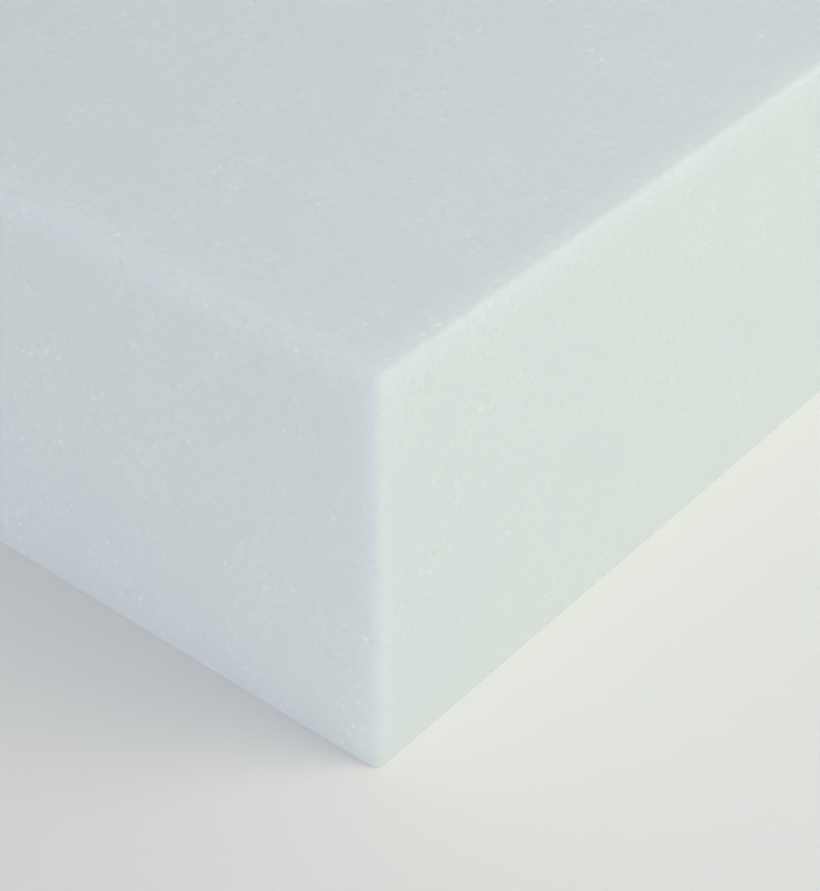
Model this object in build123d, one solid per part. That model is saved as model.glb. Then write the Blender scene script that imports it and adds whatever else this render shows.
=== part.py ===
from build123d import *

import os

# Foam rubber pad: one block of soft open-cell foam, cut from a slab with straight cuts.
# It lies flat on its underside. The origin is the centre of the underside, with X along
# the length, Y along the width and Z up through the thickness.

# Driving dimensions, in millimetres
pad_length = 300.0
pad_width = 200.0
pad_thickness = 50.0

# Soft foam relaxes a little where two cuts meet, so the top and upright edges are rounded over.
soft_edge_radius = 0.5

# The edges of the underside stay crisper, pressed square by the pad's own weight.
base_edge_radius = 0.2


def cut_block():
    """The block as the knife leaves it, with its underside at Z 0."""
    return extrude(Rectangle(pad_length, pad_width), pad_thickness)


def soften_edges(block):
    """Round the top and upright edges together, so that each top corner is a ball corner."""
    base_edges = block.edges().group_by(Axis.Z)[0]
    soft_edges = [edge for edge in block.edges() if edge not in base_edges]
    return fillet(soft_edges, soft_edge_radius)


def ease_base(block):
    """Ease the outline of the underside, corners included."""
    underside = block.faces().sort_by(Axis.Z)[0]
    return fillet(underside.edges(), base_edge_radius)


foam_pad = ease_base(soften_edges(cut_block()))

os.makedirs("parts", exist_ok=True)
export_step(foam_pad, "parts/foam_pad.step")
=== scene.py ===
import math

import bpy
import numpy as np
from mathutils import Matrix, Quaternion, Vector, noise


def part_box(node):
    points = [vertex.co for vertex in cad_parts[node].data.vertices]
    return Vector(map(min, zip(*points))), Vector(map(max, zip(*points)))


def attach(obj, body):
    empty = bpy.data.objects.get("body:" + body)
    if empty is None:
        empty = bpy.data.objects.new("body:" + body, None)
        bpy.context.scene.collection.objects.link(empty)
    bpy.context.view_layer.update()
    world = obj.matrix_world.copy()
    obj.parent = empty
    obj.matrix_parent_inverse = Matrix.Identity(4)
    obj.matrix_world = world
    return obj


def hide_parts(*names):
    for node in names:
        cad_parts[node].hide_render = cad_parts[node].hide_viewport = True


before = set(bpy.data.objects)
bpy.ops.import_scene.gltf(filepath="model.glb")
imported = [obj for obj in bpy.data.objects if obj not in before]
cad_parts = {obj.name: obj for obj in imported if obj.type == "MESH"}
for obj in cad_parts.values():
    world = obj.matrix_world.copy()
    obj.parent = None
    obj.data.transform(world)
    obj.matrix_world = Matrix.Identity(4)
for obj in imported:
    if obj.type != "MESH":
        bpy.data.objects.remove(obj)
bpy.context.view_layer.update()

# Sizes of the pad, in metres. The top radius stays below the upright one, so that no two grid lines meet.
MM = 0.001
PAD_LOW, PAD_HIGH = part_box("foam_pad")
HALF_LENGTH = (PAD_HIGH.x - PAD_LOW.x) / 2
HALF_WIDTH = (PAD_HIGH.y - PAD_LOW.y) / 2
HALF_PLAN = np.array([HALF_LENGTH, HALF_WIDTH])
THICKNESS = PAD_HIGH.z - PAD_LOW.z
UPRIGHT_RADIUS = 0.9 * MM
TOP_RADIUS = 0.8 * MM
BASE_RADIUS = 0.04 * MM
NEAR_CORNER = Vector((PAD_HIGH.x, PAD_LOW.y, PAD_LOW.z))

# A length too small to see, which keeps a division from failing
TINY = 1e-12

# Mesh density: lines along each side, steps round an edge, and how far the lines crowd to the edges
LINES_LONG, LINES_WIDE, LINES_HIGH = 184, 134, 54
UPRIGHT_STEPS, TOP_STEPS, BASE_STEPS = 4, 3, 2
CROWDING = 0.62

# Unevenness of the cuts: how high and how long each kind of wave is
WAVE_HEIGHT, WAVE_LENGTH = 0.10 * MM, 32 * MM
RIPPLE_HEIGHT, RIPPLE_LENGTH = 0.035 * MM, 4.5 * MM
RAGGED_HEIGHT, RAGGED_LENGTH = 0.07 * MM, 1.3 * MM

# How far from an edge the cut is ragged, and over what height above the floor the unevenness sets in
RAGGED_REACH = 3.0 * MM
FLAT_BASE = 2.0 * MM

# How far from a top edge the colour is darkened: painted shade that offsets the extra light a rounded edge
# catches
EDGE_SHADE_REACH = 2.2 * MM


def crowded(count):
    """Values from -1 to 1 that lie closer together near the ends."""
    t = np.linspace(-1, 1, count)
    return (1 - CROWDING) * t + CROWDING * np.sin(t * math.pi / 2)


def turned(steps):
    """Shares of a radius that turn an edge by equal angles, from its start to its middle."""
    return np.tan(np.linspace(0, math.pi / 4, steps + 1)[1:])


def side_lines(half, count):
    """Grid lines across a side, with the rounded edges at both ends."""
    core = half - UPRIGHT_RADIUS
    upright = core + UPRIGHT_RADIUS * turned(UPRIGHT_STEPS)
    rim = half - TOP_RADIUS * (1 - turned(TOP_STEPS)[:-1])
    turn = np.sort(np.concatenate([upright, [half - TOP_RADIUS], rim]))
    return np.concatenate([-turn[::-1], core * crowded(count), turn])


def height_lines():
    """Grid lines up the thickness, from the eased base to the rounded top."""
    low = BASE_RADIUS * (1 - turned(BASE_STEPS))[::-1]
    top = THICKNESS - TOP_RADIUS
    middle = BASE_RADIUS + (top - BASE_RADIUS) * (crowded(LINES_HIGH) + 1) / 2
    return np.concatenate([low, middle, top + TOP_RADIUS * turned(TOP_STEPS)])


def shell(xs, ys, zs):
    """The points of a box lattice that lie on its surface, and the quads that join them."""
    shape = (len(xs), len(ys), len(zs))
    on_skin = np.ones(shape, bool)
    on_skin[1:-1, 1:-1, 1:-1] = False
    number = np.cumsum(on_skin).reshape(shape) - 1
    i, j, k = np.nonzero(on_skin)
    points = np.stack([xs[i], ys[j], zs[k]], 1)
    quads = []
    for axis in range(3):
        for end in (0, -1):
            face = np.take(number, end, axis)
            ring = [face[:-1, :-1], face[1:, :-1], face[1:, 1:], face[:-1, 1:]]
            if (end == 0) != (axis == 1):
                ring.reverse()
            quads.append(np.stack(ring, -1).reshape(-1, 4))
    return points, np.concatenate(quads)


def rounded(inset, rise, radius):
    """A square edge in section turned to an arc: how far in and how far up each point then lies."""
    across, along = radius - inset, rise
    length = np.hypot(across, along)
    turns = (across > 0) & (along > 0)
    scale = np.where(turns, radius / np.maximum(length, TINY), 1)
    return radius - across * scale, along * scale


def soften(points):
    """Round the edges of the box points, as the foam relaxes along its cuts."""
    plan, height = points[:, :2], points[:, 2]
    sign = np.where(plan < 0, -1, 1)
    depth = HALF_PLAN - np.abs(plan)
    inset = depth.min(1)
    top = THICKNESS - TOP_RADIUS
    inset_top, rise = rounded(inset, height - top, TOP_RADIUS)
    inset_base, drop = rounded(inset, BASE_RADIUS - height, BASE_RADIUS)
    upper = height > top
    lower = height < BASE_RADIUS
    new_inset = np.where(upper, inset_top, np.where(lower, inset_base, inset))
    new_height = np.where(upper, top + rise, np.where(lower, BASE_RADIUS - drop, height))

    reach = np.maximum(UPRIGHT_RADIUS - depth, 0)
    length = np.linalg.norm(reach, axis=1)
    outward = reach / np.maximum(length, TINY)[:, None]
    core = np.minimum(np.abs(plan), HALF_PLAN - UPRIGHT_RADIUS)
    edged = core + outward * (UPRIGHT_RADIUS - new_inset)[:, None]
    new_plan = np.where((length > 0)[:, None], edged, np.abs(plan)) * sign
    return np.column_stack([new_plan, new_height])


def waves(points, length):
    """Smooth noise from -1 to 1 at each point, with features of that length."""
    return np.array([noise.noise(Vector(p)) for p in (points / length).tolist()])


def edge_distances(points):
    """How far each point lies from the upright edges, and how far from the top edges."""
    side = HALF_PLAN - np.abs(points[:, :2])
    below_top = THICKNESS - points[:, 2]
    return side.max(1), np.maximum(side.min(1), below_top)


def fading(distance, reach):
    """1 where the distance is 0, falling smoothly to 0 at the reach."""
    share = np.clip(1 - distance / reach, 0, 1)
    return share * share * (3 - 2 * share)


def unevenness(points):
    """How far the cut surface stands out or in at each point."""
    height = WAVE_HEIGHT * waves(points, WAVE_LENGTH)
    height += RIPPLE_HEIGHT * waves(points, RIPPLE_LENGTH)
    near_edge = fading(np.minimum(*edge_distances(points)), RAGGED_REACH)
    height += RAGGED_HEIGHT * near_edge * waves(points, RAGGED_LENGTH)
    return height * np.clip(points[:, 2] / FLAT_BASE, 0, 1)


def mesh_piece(name, points, quads):
    """A smooth-shaded mesh object."""
    mesh = bpy.data.meshes.new(name)
    mesh.from_pydata(points.tolist(), [], quads.tolist())
    mesh.shade_smooth()
    mesh.update()
    piece = bpy.data.objects.new(name, mesh)
    bpy.context.scene.collection.objects.link(piece)
    return piece


def foam_block():
    """The cut block of foam, with rounded edges and faces that aren't quite true."""
    xs = side_lines(HALF_LENGTH, LINES_LONG)
    ys = side_lines(HALF_WIDTH, LINES_WIDE)
    points, quads = shell(xs, ys, height_lines())
    points = soften(points)
    piece = mesh_piece("cut_foam", points, quads)
    normals = np.array([tuple(n.vector) for n in piece.data.vertex_normals])
    from_top_edge = edge_distances(points)[1]
    # The top edges' share of painted shade, kept on the mesh for the material
    edge = piece.data.attributes.new("edge", "FLOAT", "POINT")
    edge.data.foreach_set("value", fading(from_top_edge, EDGE_SHADE_REACH))
    points = points + normals * unevenness(points)[:, None]
    piece.data.vertices.foreach_set("co", points.ravel())
    piece.data.update()
    return piece


class Paint:
    """Short calls that add nodes to a material or to the world."""

    def __init__(self, owner, shader):
        owner.use_nodes = True
        self.tree = owner.node_tree
        self.shader = self.tree.nodes[shader]

    def fill(self, socket, value):
        """Link another node's output to the socket, or set the socket to a plain value."""
        if isinstance(value, bpy.types.NodeSocket):
            self.tree.links.new(value, socket)
        else:
            socket.default_value = value

    def set(self, name, value):
        """Fill one of the shader's sockets."""
        self.fill(self.shader.inputs[name], value)

    def add(self, kind, sockets, **settings):
        """A new node with those settings and its sockets filled."""
        made = self.tree.nodes.new("ShaderNode" + kind)
        for name, value in settings.items():
            setattr(made, name, value)
        for name, value in sockets.items():
            self.fill(made.inputs[name], value)
        return made

    def place(self):
        """Where a point lies on the pad, in millimetres."""
        spot = self.add("TexCoord", {}).outputs["Object"]
        return self.add("VectorMath", {0: spot, "Scale": 1 / MM}, operation="SCALE").outputs[0]

    def shift(self, place, colour, amount):
        """The place moved by up to that amount along the random colour."""
        sockets = {0: colour, 1: (amount, amount, amount), 2: place}
        return self.add("VectorMath", sockets, operation="MULTIPLY_ADD").outputs[0]

    def math(self, operation, first, second):
        """The result of that operation on two values."""
        return self.add("Math", {0: first, 1: second}, operation=operation).outputs[0]

    def noise(self, place, size, detail):
        """Smooth noise about its middle, with features of that size in millimetres, and random colours."""
        sockets = {"Vector": place, "Scale": 1 / size, "Detail": detail}
        return self.add("TexNoise", sockets).outputs

    def cells(self, place, size):
        """Random cells of that size in millimetres: distance to the middle, and a random colour."""
        return self.add("TexVoronoi", {"Vector": place, "Scale": 1 / size}).outputs

    def slope(self, value, low, high, start, end, kind="LINEAR"):
        """start below low, end above high, and a straight line between."""
        sockets = {"Value": value, "From Min": low, "From Max": high, "To Min": start, "To Max": end}
        return self.add("MapRange", sockets, interpolation_type=kind).outputs["Result"]

    def smooth(self, value, low, high, start, end):
        """start below low, end above high, and an even S between."""
        return self.slope(value, low, high, start, end, "SMOOTHSTEP")

    def mix(self, share, first, second):
        """The first colour where the share is 0, the second where it is 1, and blends between."""
        made = self.add("Mix", {}, data_type="RGBA")
        sockets = {socket.name: socket for socket in made.inputs if socket.enabled}
        self.fill(sockets["Factor"], share)
        self.fill(sockets["A"], first)
        self.fill(sockets["B"], second)
        return next(socket for socket in made.outputs if socket.enabled)


# The foam's darkest and lightest tones, between which its patterns lie, and the middle of a range
FOAM_DARK = (0.57, 0.645, 0.65, 1)
FOAM_LIGHT = (0.93, 0.985, 0.985, 1)
MIDDLE = 0.5

# Sizes of the patterns in millimetres, how finely they break up, and the share of the tones they take up
GRAIN, GRAIN_DETAIL, GRAIN_SHARE = 0.75, 0.5, 0.22
PATCH, PATCH_DETAIL, PATCH_SHARE = 7.0, 1.0, 0.07
DOT_SPACING, DOT_RADIUS, DOT_WARP, DOT_SHARE = 1.05, 0.5, 0.5, 0.29
# How much painted shade darkens the foam at the top edges
EDGE_SHADE_SHARE = 0.04

# The smallest dot as a share of the largest, and the tones of the darkest pore, painted shade in its
# hollow, and of the brightest fleck, cell wall whitened partly by a painted glint
SMALLEST_SHARE = 0.4
PORE_SHADE_TONE, FLECK_GLINT_TONE = -0.8, 1.0

# How far from the middle a patch is bare or crowded, and the share of the pattern that a bare one keeps
PATCH_TURN = 0.15
BARE_SHARE = 0.35

# How strong the relief is in bare and in crowded patches, and how deep
BARE_RELIEF, CROWDED_RELIEF, RELIEF_DEPTH = 0.08, 0.22, 0.2 * MM

# How rough the foam and its flecks are, and how much the foam shines
FOAM_ROUGHNESS, FLECK_ROUGHNESS, FOAM_SHINE = 0.92, 0.5, 0.25

# How much of the light soaks in, how far it spreads, and the height in millimetres over which that sets in
GLOW_SHARE, GLOW_DEPTH, GLOW_RISE = 0.65, 4.0 * MM, 3.0


def foam_dots(paint, place):
    """Cut cells, mostly faint: scraps of cell wall above 0, whitened partly by a painted glint, and small
    pores below 0, darkened by painted shade.
    """
    cells = paint.cells(place, DOT_SPACING)
    chance = paint.add("SeparateColor", {"Color": cells["Color"]}).outputs
    reach = paint.smooth(chance["Red"], 0.0, 1.0, SMALLEST_SHARE, 1.0)
    reach = paint.math("MULTIPLY", reach, DOT_RADIUS / DOT_SPACING)
    dot = paint.smooth(paint.math("DIVIDE", cells["Distance"], reach), 0.0, 1.0, 1.0, 0.0)
    # Tones below 0 are painted shade in the pores; tones above 0 are partly a painted glint on the flecks
    tone = paint.smooth(chance["Green"], 0.0, 1.0, PORE_SHADE_TONE, FLECK_GLINT_TONE)
    cubed = paint.math("MULTIPLY", tone, paint.math("MULTIPLY", tone, tone))
    return paint.math("MULTIPLY", dot, cubed)


def foam_colour(paint, dots, grain, patch):
    """Dots and grain in loose crowds, over broad faint patches, with painted shade darkening the top
    edges.
    """
    crowd = paint.smooth(patch, -PATCH_TURN, PATCH_TURN, BARE_SHARE, 1.0)
    # The dots carry painted glints on the flecks and painted shade in the pores
    share = paint.math("MULTIPLY", dots, DOT_SHARE)
    share = paint.math("ADD", share, paint.math("MULTIPLY", grain, GRAIN_SHARE))
    share = paint.math("MULTIPLY", share, crowd)
    share = paint.math("ADD", share, paint.math("MULTIPLY", patch, PATCH_SHARE))
    # Painted shade along the top edges, so that a rounded rim is no brighter than the faces beside it
    edge = paint.add("Attribute", {}, attribute_name="edge").outputs["Fac"]
    share = paint.math("SUBTRACT", share, paint.math("MULTIPLY", edge, EDGE_SHADE_SHARE))
    return paint.mix(paint.math("ADD", share, MIDDLE), FOAM_DARK, FOAM_LIGHT)


def foam_relief(paint, dots, grain, patch):
    """The surface roughened by the dots and the grain, most of all where they crowd."""
    strength = paint.smooth(patch, -PATCH_TURN, PATCH_TURN, BARE_RELIEF, CROWDED_RELIEF)
    sockets = {"Height": paint.math("ADD", dots, grain), "Strength": strength, "Distance": RELIEF_DEPTH}
    return paint.add("Bump", sockets).outputs["Normal"]


def foam_material():
    """Pale open-cell foam: fine grain, flecks and pores, and light that soaks in."""
    material = bpy.data.materials.new("open_cell_foam")
    paint = Paint(material, "Principled BSDF")
    place = paint.place()
    fine = paint.noise(place, GRAIN, GRAIN_DETAIL)
    grain = paint.math("SUBTRACT", fine["Fac"], MIDDLE)
    dots = foam_dots(paint, paint.shift(place, fine["Color"], DOT_WARP))
    patch = paint.math("SUBTRACT", paint.noise(place, PATCH, PATCH_DETAIL)["Fac"], MIDDLE)
    paint.set("Base Color", foam_colour(paint, dots, grain, patch))
    paint.set("Normal", foam_relief(paint, dots, grain, patch))
    paint.set("Roughness", paint.smooth(dots, 0.0, 1.0, FOAM_ROUGHNESS, FLECK_ROUGHNESS))
    paint.set("Specular IOR Level", FOAM_SHINE)

    height = paint.add("SeparateXYZ", {0: place}).outputs["Z"]
    paint.shader.subsurface_method = "BURLEY"
    paint.set("Subsurface Weight", paint.smooth(height, 0.0, GLOW_RISE, 0.0, GLOW_SHARE))
    paint.set("Subsurface Radius", (1.0, 1.0, 1.0))
    paint.set("Subsurface Scale", GLOW_DEPTH)
    return material


# The floor: a plain pale disc, wide enough to fill the views
FLOOR_RADIUS, FLOOR_CORNERS = 4.0, 96
FLOOR_COLOUR, FLOOR_ROUGHNESS, FLOOR_SHINE = (0.938, 0.922, 0.897, 1), 0.7, 0.2


def floor_material():
    """A plain pale tabletop."""
    material = bpy.data.materials.new("pale_floor")
    paint = Paint(material, "Principled BSDF")
    paint.set("Base Color", FLOOR_COLOUR)
    paint.set("Roughness", FLOOR_ROUGHNESS)
    paint.set("Specular IOR Level", FLOOR_SHINE)
    return material


def floor():
    """The surface that the pad lies on."""
    bpy.ops.mesh.primitive_circle_add(vertices=FLOOR_CORNERS, radius=FLOOR_RADIUS, fill_type="NGON")
    ground = bpy.context.object
    ground.name = "floor"
    ground.data.materials.append(floor_material())


# The photograph's view: the aim, measured from the near corner, and the way from there to the camera
VIEW_AIM = Vector((-11.84, 19.30, 25.0)) * MM
VIEW_AZIMUTH, VIEW_ELEVATION, VIEW_ROLL = 39.33, 38.15, 0.41
VIEW_DISTANCE = 253.8 * MM

# The lens: its length and the photograph's longer side in pixels, and the sensor in millimetres
FOCAL_PIXELS, IMAGE_HEIGHT, SENSOR = 2440.6, 891, 36.0
CLIP_START = 0.01


def bearing(azimuth, elevation):
    """The way to something at that azimuth, where 0 is towards -Y and 90 towards +X."""
    a, e = math.radians(azimuth), math.radians(elevation)
    return Vector((math.sin(a) * math.cos(e), -math.cos(a) * math.cos(e), math.sin(e)))


def camera():
    """The camera at the photograph's viewing angle, aimed beside the near corner."""
    back = bearing(VIEW_AZIMUTH, VIEW_ELEVATION)
    data = bpy.data.cameras.new("camera")
    data.sensor_width = SENSOR
    data.lens = SENSOR * FOCAL_PIXELS / IMAGE_HEIGHT
    data.clip_start = CLIP_START
    eye = bpy.data.objects.new("camera", data)
    eye.location = NEAR_CORNER + VIEW_AIM + back * VIEW_DISTANCE
    eye.rotation_mode = "QUATERNION"
    turn = Quaternion((0, 0, 1), math.radians(VIEW_ROLL))
    eye.rotation_quaternion = (-back).to_track_quat("-Z", "Y") @ turn
    bpy.context.scene.collection.objects.link(eye)
    bpy.context.scene.camera = eye


# The room: pale walls under a dim ceiling, and a cool glow low at the front and the back
WALL_COLOUR, CEILING_COLOUR, WALL_LIGHT = (1.0, 0.935, 0.782, 1), (0.03, 0.05, 0.15, 1), 1.09
COOL_COLOUR, COOL_LIGHT = (0.58, 0.7, 0.96, 1), 0.76

# The light on the right: the point over the near corner that it looks at, the way to it, and its size
LIGHT_AIM = Vector((0, 0, 0.02))
RIGHT_AZIMUTH, RIGHT_ELEVATION, RIGHT_DISTANCE = 118, 56, 0.5
RIGHT_WIDTH, RIGHT_POWER, RIGHT_COLOUR = 0.3, 0.86, (0.965, 0.985, 0.75)


def right_light():
    """A round soft light, high on the right, that looks at the near corner of the pad."""
    data = bpy.data.lights.new("right_light", "AREA")
    data.shape = "DISK"
    data.size = RIGHT_WIDTH
    data.energy = RIGHT_POWER
    data.color = RIGHT_COLOUR
    light = bpy.data.objects.new("right_light", data)
    way = bearing(RIGHT_AZIMUTH, RIGHT_ELEVATION)
    light.location = NEAR_CORNER + LIGHT_AIM + way * RIGHT_DISTANCE
    light.rotation_mode = "QUATERNION"
    light.rotation_quaternion = (-way).to_track_quat("-Z", "Y")
    light.visible_camera = False
    bpy.context.scene.collection.objects.link(light)


def pale_room():
    """Soft light from all round, warm and strongest at the horizon, cooler at the front and back."""
    world = bpy.data.worlds.new("pale_room")
    paint = Paint(world, "World Output")
    way = paint.add("TexCoord", {}).outputs["Generated"]
    way = paint.add("SeparateXYZ", {0: way}).outputs
    walls = paint.mix(paint.slope(way["Z"], 0.0, 1.0, 0.0, 1.0), WALL_COLOUR, CEILING_COLOUR)
    walls = paint.add("Background", {"Color": walls, "Strength": WALL_LIGHT}).outputs[0]
    cool = paint.math("MULTIPLY", paint.math("MULTIPLY", way["Y"], way["Y"]), COOL_LIGHT)
    cool = paint.add("Background", {"Color": COOL_COLOUR, "Strength": cool}).outputs[0]
    paint.set("Surface", paint.add("AddShader", {0: walls, 1: cool}).outputs[0])
    bpy.context.scene.world = world


def studio():
    """A bright soft room, with one soft light high on the right."""
    pale_room()
    right_light()
    bpy.context.scene.view_settings.view_transform = "Standard"
    bpy.context.scene.view_settings.look = "None"


pad = foam_block()
pad.data.materials.append(foam_material())
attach(pad, "root")
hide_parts("foam_pad")
floor()
camera()
studio()
